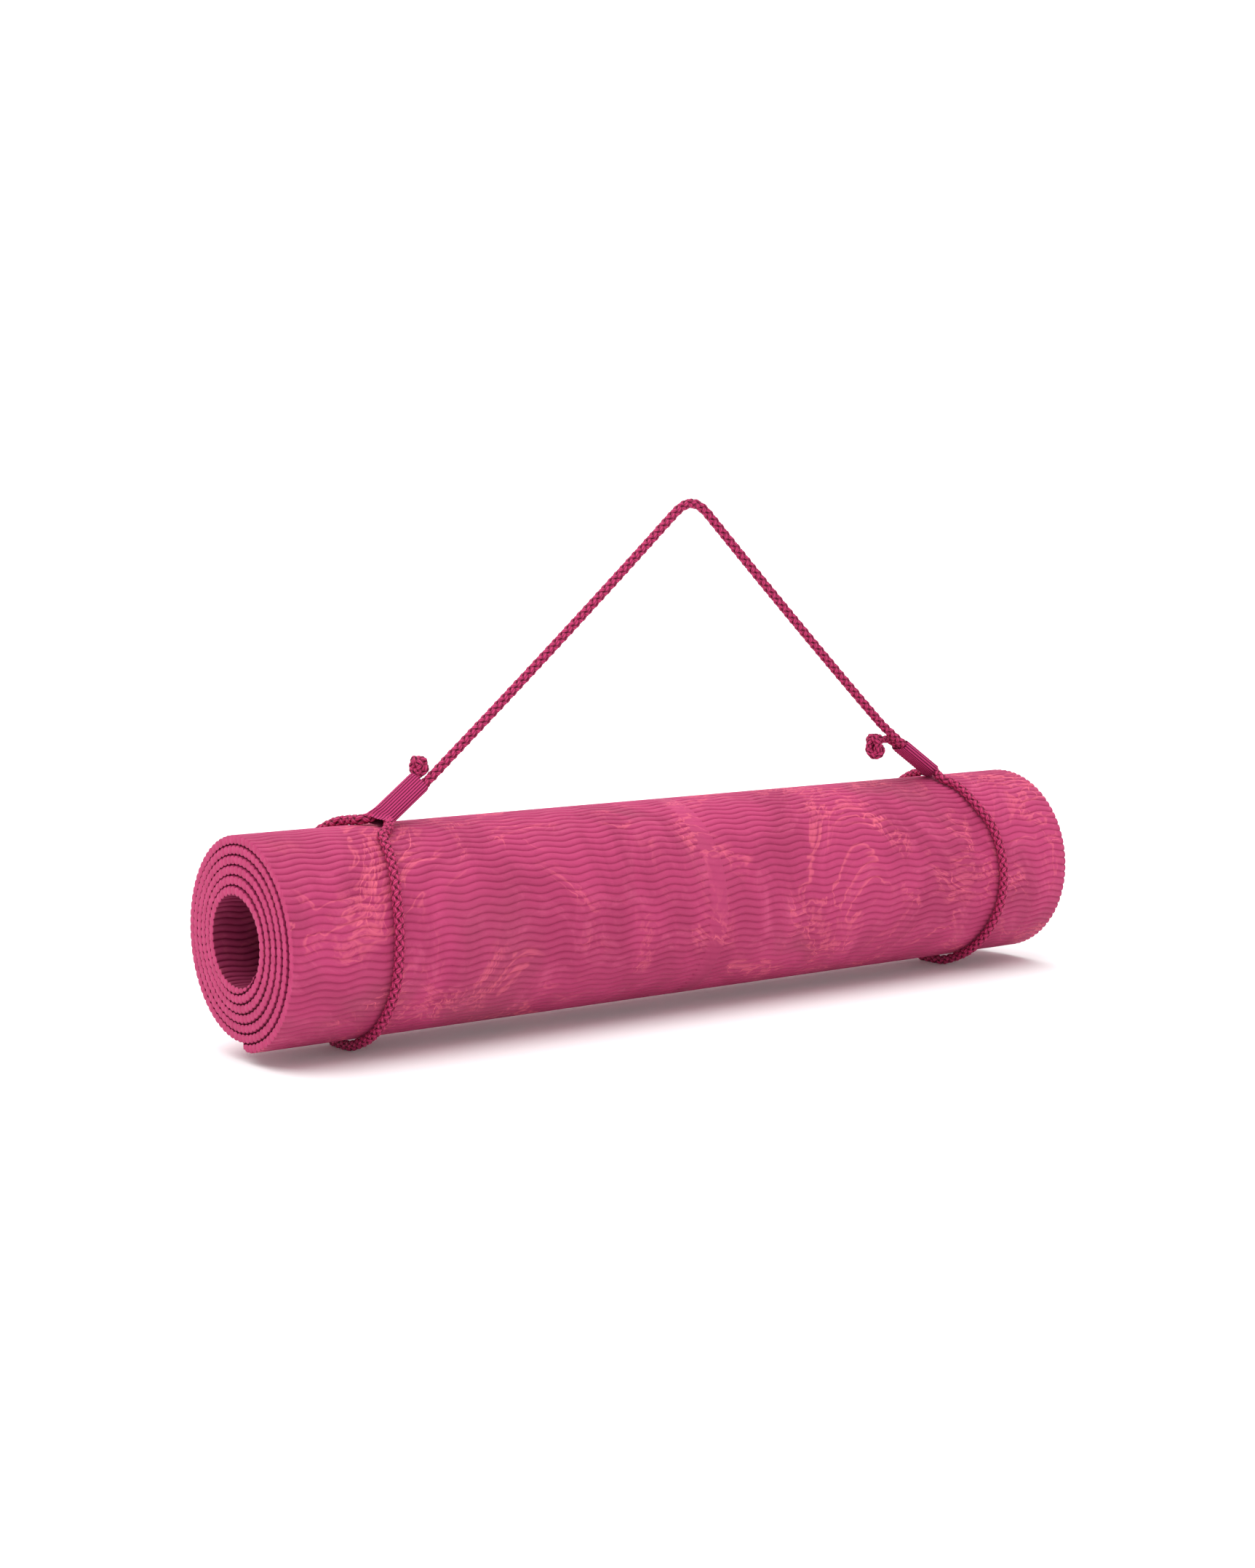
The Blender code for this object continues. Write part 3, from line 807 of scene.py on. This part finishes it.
def braid(name, line, material, scale=1.0):
    """Eight strands plaited one over one: four wind each way, and each rises and falls in turn."""
    sides = STRAND_SIDES
    _, normals, binormals = frames_along(line)
    steps = np.linalg.norm(np.diff(line, axis=0), axis=1)
    along = np.concatenate([[0.0], np.cumsum(steps)])
    lay = ROPE_LAY * scale
    weave = np.cos(8 * pi * along / lay)
    vertices, attribute, faces = [], [], []
    count = len(line)
    for number in range(8):
        way = 1 if number < 4 else -1
        turn = way * 2 * pi * along / lay + pi / 2 * (number % 4)
        outward = np.cos(turn)[:, None] * normals + np.sin(turn)[:, None] * binormals
        centre = line + outward * (scale * (WEAVE_RADIUS + way * WEAVE_RISE * weave))[:, None]
        forward = np.gradient(centre, axis=0)
        forward /= np.linalg.norm(forward, axis=1)[:, None]
        across = np.cross(forward, outward)
        across /= np.linalg.norm(across, axis=1)[:, None]
        lift = np.cross(across, forward)
        base = len(vertices) * count * sides
        block = np.empty((count, sides, 3))
        for side in range(sides):
            angle = 2 * pi * side / sides
            block[:, side] = centre + scale * (
                across * (STRAND_HALF_WIDTH * cos(angle)) + lift * (STRAND_HALF_THICK * sin(angle))
            )
        reach = np.linalg.norm(block - line[:, None, :], axis=2)
        block[:, :, 2] = np.maximum(block[:, :, 2], FLOOR_GAP)
        vertices.append(block.reshape(-1, 3))
        facts = np.empty((count, sides, 3))
        facts[:, :, 0] = np.minimum(np.arange(sides), sides - np.arange(sides)) / sides
        facts[:, :, 1] = along[:, None] + 0.37 * number
        # How far out from the cord's centre each point lies, which the material turns into painted shade
        # where it is low.
        facts[:, :, 2] = reach / (scale * ROPE_RADIUS)
        attribute.append(facts.reshape(-1, 3))
        index = base + np.arange(count * sides).reshape(count, sides)
        following = np.roll(index, -1, axis=1)
        quads = np.stack([index[:-1], following[:-1], following[1:], index[1:]], axis=2)
        faces.extend(quads.reshape(-1, 4).tolist())
        faces.append(index[0].tolist())
        faces.append(index[-1][::-1].tolist())
    attributes = {"strand": np.concatenate(attribute)}
    return new_mesh(name, np.concatenate(vertices), faces, material, attributes)


def knot_line(centre, half_sizes, tube, turns, tail):
    """A tight stopper knot: the cord laid twice round a ball in three waves, over and under itself.

    The turns are the degrees by which the knot is turned about X and then about Z. The tail is led into
    it, and the cord's end goes down through its middle.
    """
    t = np.linspace(0.10, 2 * pi - 0.45, 165)
    lift = KNOT_LIFT * np.sin(3 * t)
    reach = 1 + KNOT_SWELL * np.cos(3 * t)
    level = reach * np.cos(lift)
    curve = np.stack([level * np.cos(2 * t), level * np.sin(2 * t), reach * np.sin(lift)], axis=1)
    turn = Matrix.Rotation(radians(turns[1]), 3, "Z") @ Matrix.Rotation(radians(turns[0]), 3, "X")
    curve = curve @ np.array(turn).T
    curve /= np.abs(curve).max(0)
    curve = curve * (np.array(half_sizes) - tube) + np.array(centre)
    lead = [Vector(point) for point in tail]
    onward = lead[-1] + (lead[-1] - lead[-2])
    into = bezier(lead[-1], onward, Vector(curve[4]), Vector(curve[8]), 14)
    last = Vector(curve[-1])
    way = (last - Vector(curve[-2])).normalized()
    middle = Vector(centre)
    foot = middle - Vector((0.0, 0.0, half_sizes[2] - 0.7 * tube))
    through = bezier(last, last + way * 0.003, middle + Vector((0.0, 0.0, 0.003)), foot, 20)
    points = lead[:-1] + into + [Vector(point) for point in curve[9:-1]] + through
    return np.array([tuple(point) for point in points])


# ---------------------------------------------------------------- sleeves


def at_distance(line, distance):
    """The point of a line that far along it."""
    line = np.array(line)
    lengths = np.concatenate([[0.0], np.cumsum(np.linalg.norm(np.diff(line, axis=0), axis=1))])
    return np.array([np.interp(distance, lengths, line[:, axis]) for axis in range(3)])


def outside_roll(points, gap):
    """The points moved out, where they must be, to lie that far off the roll."""
    flat = points[:, 1:] - np.array([ROLL_CENTRE_Y, ROLL_CENTRE_Z])
    distance = np.linalg.norm(flat, axis=1)
    down = np.arctan2(-flat[:, 0], -flat[:, 1]) % (2 * pi)
    least = ROLL_OUTER - ROLL_PITCH * down / (2 * pi) + gap
    scale = np.maximum(1.0, least / distance)
    moved = points.copy()
    moved[:, 1:] = np.array([ROLL_CENTRE_Y, ROLL_CENTRE_Z]) + flat * scale[:, None]
    return moved


def sleeve_section(strap_side, tail_side, distance):
    """Centre, axis, wide and thin directions and half strand spacing, so far down from the top mouth."""
    first, second = at_distance(strap_side, distance), at_distance(tail_side, distance)
    above = max(0.0, distance - SECTION_STEP)
    below = distance + SECTION_STEP
    ahead = at_distance(strap_side, below) + at_distance(tail_side, below)
    behind = at_distance(strap_side, above) + at_distance(tail_side, above)
    axis = (behind - ahead) / np.linalg.norm(behind - ahead)
    wide = second - first
    spread = min(np.linalg.norm(wide) / 2, SPREAD_MOST)
    wide = wide / np.linalg.norm(wide)
    wide -= wide.dot(axis) * axis
    wide /= np.linalg.norm(wide)
    return (first + second) / 2, axis, wide, np.cross(axis, wide), spread


def sleeve_point(section, angle, reach):
    """A point of the sleeve's stadium outline, that far out from the two strands' centres."""
    centre, _, wide, thin, spread = section
    c, s = cos(angle), sin(angle)
    shift = spread * max(-1.0, min(1.0, FLAT_SPAN * c))
    pinch = PINCH_LEAST + PINCH_MORE * min(1.0, max(0.0, (spread - PINCH_FROM) / PINCH_RUN))
    return centre + wide * (shift + reach * c) + thin * (reach * s * (1.0 - pinch * (1 - abs(c))))


def rib_height(section, angle):
    """Share of a rib's full height, the ribs being evenly spaced along the sleeve's outline."""
    spread = section[4]
    half = min(angle, 2 * pi - angle)
    run = CORD_RADIUS * half + spread * (1 - max(-1.0, min(1.0, FLAT_SPAN * cos(half))))
    share = run / (CORD_RADIUS * pi + 2 * spread)
    return abs(sin(pi * share * SLEEVE_RIBS / 2)) ** RIB_FULLNESS


def build_sleeve(name, strap_side, tail_side, length, material):
    """Woven tube drawn over both strands, ribbed along its length, with rounded rims."""
    around = SLEEVE_RIBS * 10
    rings, facts = [], []
    shares = [i / SLEEVE_STATIONS for i in range(SLEEVE_STATIONS + 1)]
    for outside, share in [(True, s) for s in shares] + [(False, s) for s in reversed(shares)]:
        distance = length * share
        section = sleeve_section(strap_side, tail_side, distance)
        rim = min(share, 1 - share) * length
        fall = float(rounding(np.array(rim), RIM_ROUND))
        ring, fact = [], []
        for k in range(around):
            angle = 2 * pi * k / around
            # Inside the tube a fixed low rib height paints it dark, as shade.
            rib = rib_height(section, angle) if outside else 0.2
            reach = SLEEVE_BORE + (SLEEVE_WALL - fall + RIB_RISE * (rib - 1) if outside else fall)
            ring.append(sleeve_point(section, angle, reach))
            fact.append((k / around, distance, rib))
        rings.append(outside_roll(np.array(ring), OUTSIDE_GAP if outside else INSIDE_GAP))
        facts.append(np.array(fact))
    count = len(rings)
    index = np.arange(count * around).reshape(count, around)
    following = np.roll(index, -1, axis=1)
    faces = []
    for i in range(count):
        j = (i + 1) % count
        faces.extend(np.stack([index[i], following[i], following[j], index[j]], axis=1).tolist())
    attributes = {"weave": np.concatenate(facts)}
    return new_mesh(name, np.concatenate(rings), faces, material, attributes)


def build_stitches(name, strap_side, tail_side, material):
    """A row of separate stitches, each a short thread that dips into the sleeve at both ends."""
    sides, rings = STITCH_SIDES, STITCH_RINGS
    vertices, faces = [], []
    surface = SLEEVE_BORE + SLEEVE_WALL
    for number in range(STITCH_COUNT):
        middle = STITCH_START + STITCH_PITCH * number
        base = len(vertices)
        for ring in range(rings):
            share = ring / (rings - 1)
            section = sleeve_section(strap_side, tail_side, middle + STITCH_LENGTH * (share - 0.5))
            seam = SEAM_ANGLE + STITCH_SLANT * (share - 0.5)
            arch = sin(pi * share)
            centre = sleeve_point(section, seam, surface + STITCH_RADIUS * (1.5 * arch - 0.9))
            outward = sleeve_point(section, seam, surface + 0.001)
            outward = outward - sleeve_point(section, seam, surface)
            outward /= np.linalg.norm(outward)
            across = np.cross(section[1], outward)
            for side in range(sides):
                turn = 2 * pi * side / sides
                spoke = across * cos(turn) + outward * sin(turn)
                vertices.append(centre + spoke * STITCH_RADIUS * (0.55 + 0.45 * arch))
        for ring in range(rings - 1):
            for side in range(sides):
                after = (side + 1) % sides
                a, b = base + ring * sides, base + (ring + 1) * sides
                faces.append((a + side, a + after, b + after, b + side))
        faces.append(tuple(base + side for side in reversed(range(sides))))
        faces.append(tuple(base + (rings - 1) * sides + side for side in range(sides)))
    return new_mesh(name, vertices, faces, material)


# ---------------------------------------------------------------- stage, light, camera


def build_stage():
    """A wide white floor."""
    n = Nodes("floor", 0.9)
    n.shader.inputs["Base Color"].default_value = (0.94, 0.94, 0.94, 1.0)
    n.shader.inputs["Specular IOR Level"].default_value = 0.1
    bpy.ops.mesh.primitive_plane_add(size=FLOOR_SIZE, location=(0.0, 0.0, 0.0))
    floor = bpy.context.object
    floor.name = "floor"
    floor.data.materials.append(n.material)


def build_world():
    """White round the horizon, as a studio sweep is, and dimmer overhead."""
    world = bpy.data.worlds.new("studio")
    world.use_nodes = True
    tree = world.node_tree
    direction = tree.nodes.new("ShaderNodeTexCoord")
    split = tree.nodes.new("ShaderNodeSeparateXYZ")
    fade = tree.nodes.new("ShaderNodeMapRange")
    fade.inputs[1].default_value = HORIZON_TOP
    fade.inputs[2].default_value = OVERHEAD_FROM
    fade.inputs[3].default_value = HORIZON
    fade.inputs[4].default_value = OVERHEAD
    background = tree.nodes["Background"]
    background.inputs[0].default_value = (1.0, 1.0, 1.0, 1.0)
    tree.links.new(direction.outputs["Generated"], split.inputs[0])
    tree.links.new(split.outputs[2], fade.inputs[0])
    tree.links.new(fade.outputs[0], background.inputs[1])
    bpy.context.scene.world = world


def build_sun():
    """One wide soft light, from above and a little behind and to the left."""
    data = bpy.data.lights.new("softbox", "SUN")
    data.energy = SUN_STRENGTH
    data.angle = SUN_WIDTH
    light = bpy.data.objects.new("softbox", data)
    light.rotation_euler = Vector(SUN_FROM).to_track_quat("Z", "Y").to_euler()
    bpy.context.scene.collection.objects.link(light)


def build_camera():
    """The camera, in front of the roll's left end and looking slightly down."""
    data = bpy.data.cameras.new("camera")
    data.sensor_fit = "HORIZONTAL"
    data.sensor_width = SENSOR_WIDTH
    data.lens = CAMERA_LENS
    camera = bpy.data.objects.new("camera", data)
    camera.location = CAMERA_PLACE
    camera.rotation_euler = (CAMERA_TILT, 0.0, CAMERA_TURN)
    bpy.context.scene.collection.objects.link(camera)
    bpy.context.scene.camera = camera


# ---------------------------------------------------------------- assembly

build_camera()
build_stage()
build_world()
build_sun()
bpy.context.scene.view_settings.view_transform = "Standard"

# The two sleeves' places, as in CAD, and the cord's route: degrees round the roll from its top, and x.
left = Sleeve(
    side=-1,
    top=(-0.1879, -0.0065, ROLL_CENTRE_Z + 0.0856),
    rise_degrees=37.0,
    tail_side=(-0.44, 0.64, 0.63),
    length=0.0286,
    mouth_run=0.0018,
)
right = Sleeve(
    side=1,
    top=(0.1988, -0.0055, ROLL_CENTRE_Z + 0.0856),
    rise_degrees=33.6,
    tail_side=(-0.07, 0.99, -0.12),
    length=0.0330,
    mouth_run=0.0030,
)
left_hinge = Vector((-0.1662, HINGE_Y, HINGE_Z))
right_hinge = Vector((0.1795, HINGE_Y, HINGE_Z))
left_stations = [
    (24, -0.2270),
    (34, -0.2295),
    (46, -0.2321),
    (57, -0.2345),
    (66, -0.2366),
    (78, -0.2379),
    (94, -0.2386),
    (180, -0.2390),
    (250, -0.2378),
    (324, -0.2347),
    (345, -0.2297),
]
right_stations = [
    (24, 0.2304),
    (38, 0.2319),
    (46, 0.2338),
    (56, 0.2374),
    (66, 0.2393),
    (85, 0.2412),
    (105, 0.2420),
    (140, 0.2400),
    (180, 0.2388),
    (324, 0.2380),
    (350, 0.2368),
]
rest_z = ROLL_CENTRE_Z + outer_radius(0.5) + CORD_RADIUS + 1.5 * CLEARANCE
left_landing = Vector((-0.2225, -0.0005, rest_z))
right_landing = Vector((0.2308, -0.0020, rest_z))
left_tail = [left.tail_strand(0.004), left.tail_strand(-0.0014)]
right_mouth = right.tail_strand(-MOUTH_RUN)
right_tail = [right.tail_strand(0.004)] + bezier(
    right_mouth,
    right_mouth + right.up * 0.006,
    Vector((0.1885, -0.0020, ROLL_CENTRE_Z + 0.0905)),
    Vector((0.1836, -0.0035, ROLL_CENTRE_Z + 0.0893)),
    12,
)

left_route, left_strap_side, left_tail_side = loop_route(
    left, left_hinge, left_stations, left_landing, TAIL_TOP
)
right_route, right_strap_side, right_tail_side = loop_route(
    right, right_hinge, right_stations, right_landing, TAIL_TOP
)
strap = [tuple(point) for point in strap_route(left_hinge, right_hinge)[1:-1]]
cord_line = smooth_line(left_route[::-1] + strap + right_route, CORD_STEP, CORD_ROUNDING)

foam = foam_material()
rope = rope_material()
webbing = webbing_material()
thread = thread_material()

mat = build_mat(foam)
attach(mat, "roll")
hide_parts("mat")

cord = braid("carry_cord", cord_line, rope)
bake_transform(cord)
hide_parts("left_loop", "right_loop", "carry_strap")

left_knot_line = knot_line(
    centre=(-0.1860, -0.0028, ROLL_CENTRE_Z + 0.0941),
    half_sizes=(0.0066, 0.0066, 0.0066),
    tube=0.0026,
    turns=(70, 20),
    tail=left_tail,
)
right_knot_line = knot_line(
    centre=(0.1758, -0.0060, ROLL_CENTRE_Z + 0.0859),
    half_sizes=(0.0074, 0.0074, 0.0092),
    tube=0.0028,
    turns=(70, 25),
    tail=right_tail,
)
left_knot_line = smooth_line(left_knot_line, KNOT_STEP, KNOT_ROUNDING)
right_knot_line = smooth_line(right_knot_line, KNOT_STEP, KNOT_ROUNDING)
left_knot = braid("left_stopper_knot", left_knot_line, rope, scale=0.79)
right_knot = braid("right_stopper_knot", right_knot_line, rope, scale=0.82)

left_sides = (left_strap_side, left_tail_side)
right_sides = (right_strap_side, right_tail_side)
left_sleeve = build_sleeve("left_woven_sleeve", *left_sides, LEFT_SLEEVE_LENGTH, webbing)
right_sleeve = build_sleeve("right_woven_sleeve", *right_sides, RIGHT_SLEEVE_LENGTH, webbing)
left_stitches = build_stitches("left_seam_stitches", *left_sides, thread)
right_stitches = build_stitches("right_seam_stitches", *right_sides, thread)

carried = (
    (left_knot, "left_knot", "cord"),
    (right_knot, "right_knot", "cord"),
    (left_sleeve, "left_sleeve", "sleeve_webbing"),
    (right_sleeve, "right_sleeve", "sleeve_webbing"),
    (left_stitches, "left_stitching", "thread"),
    (right_stitches, "right_stitching", "thread"),
)
for piece, node, slot in carried:
    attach(piece, "carrier")
    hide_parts(node)
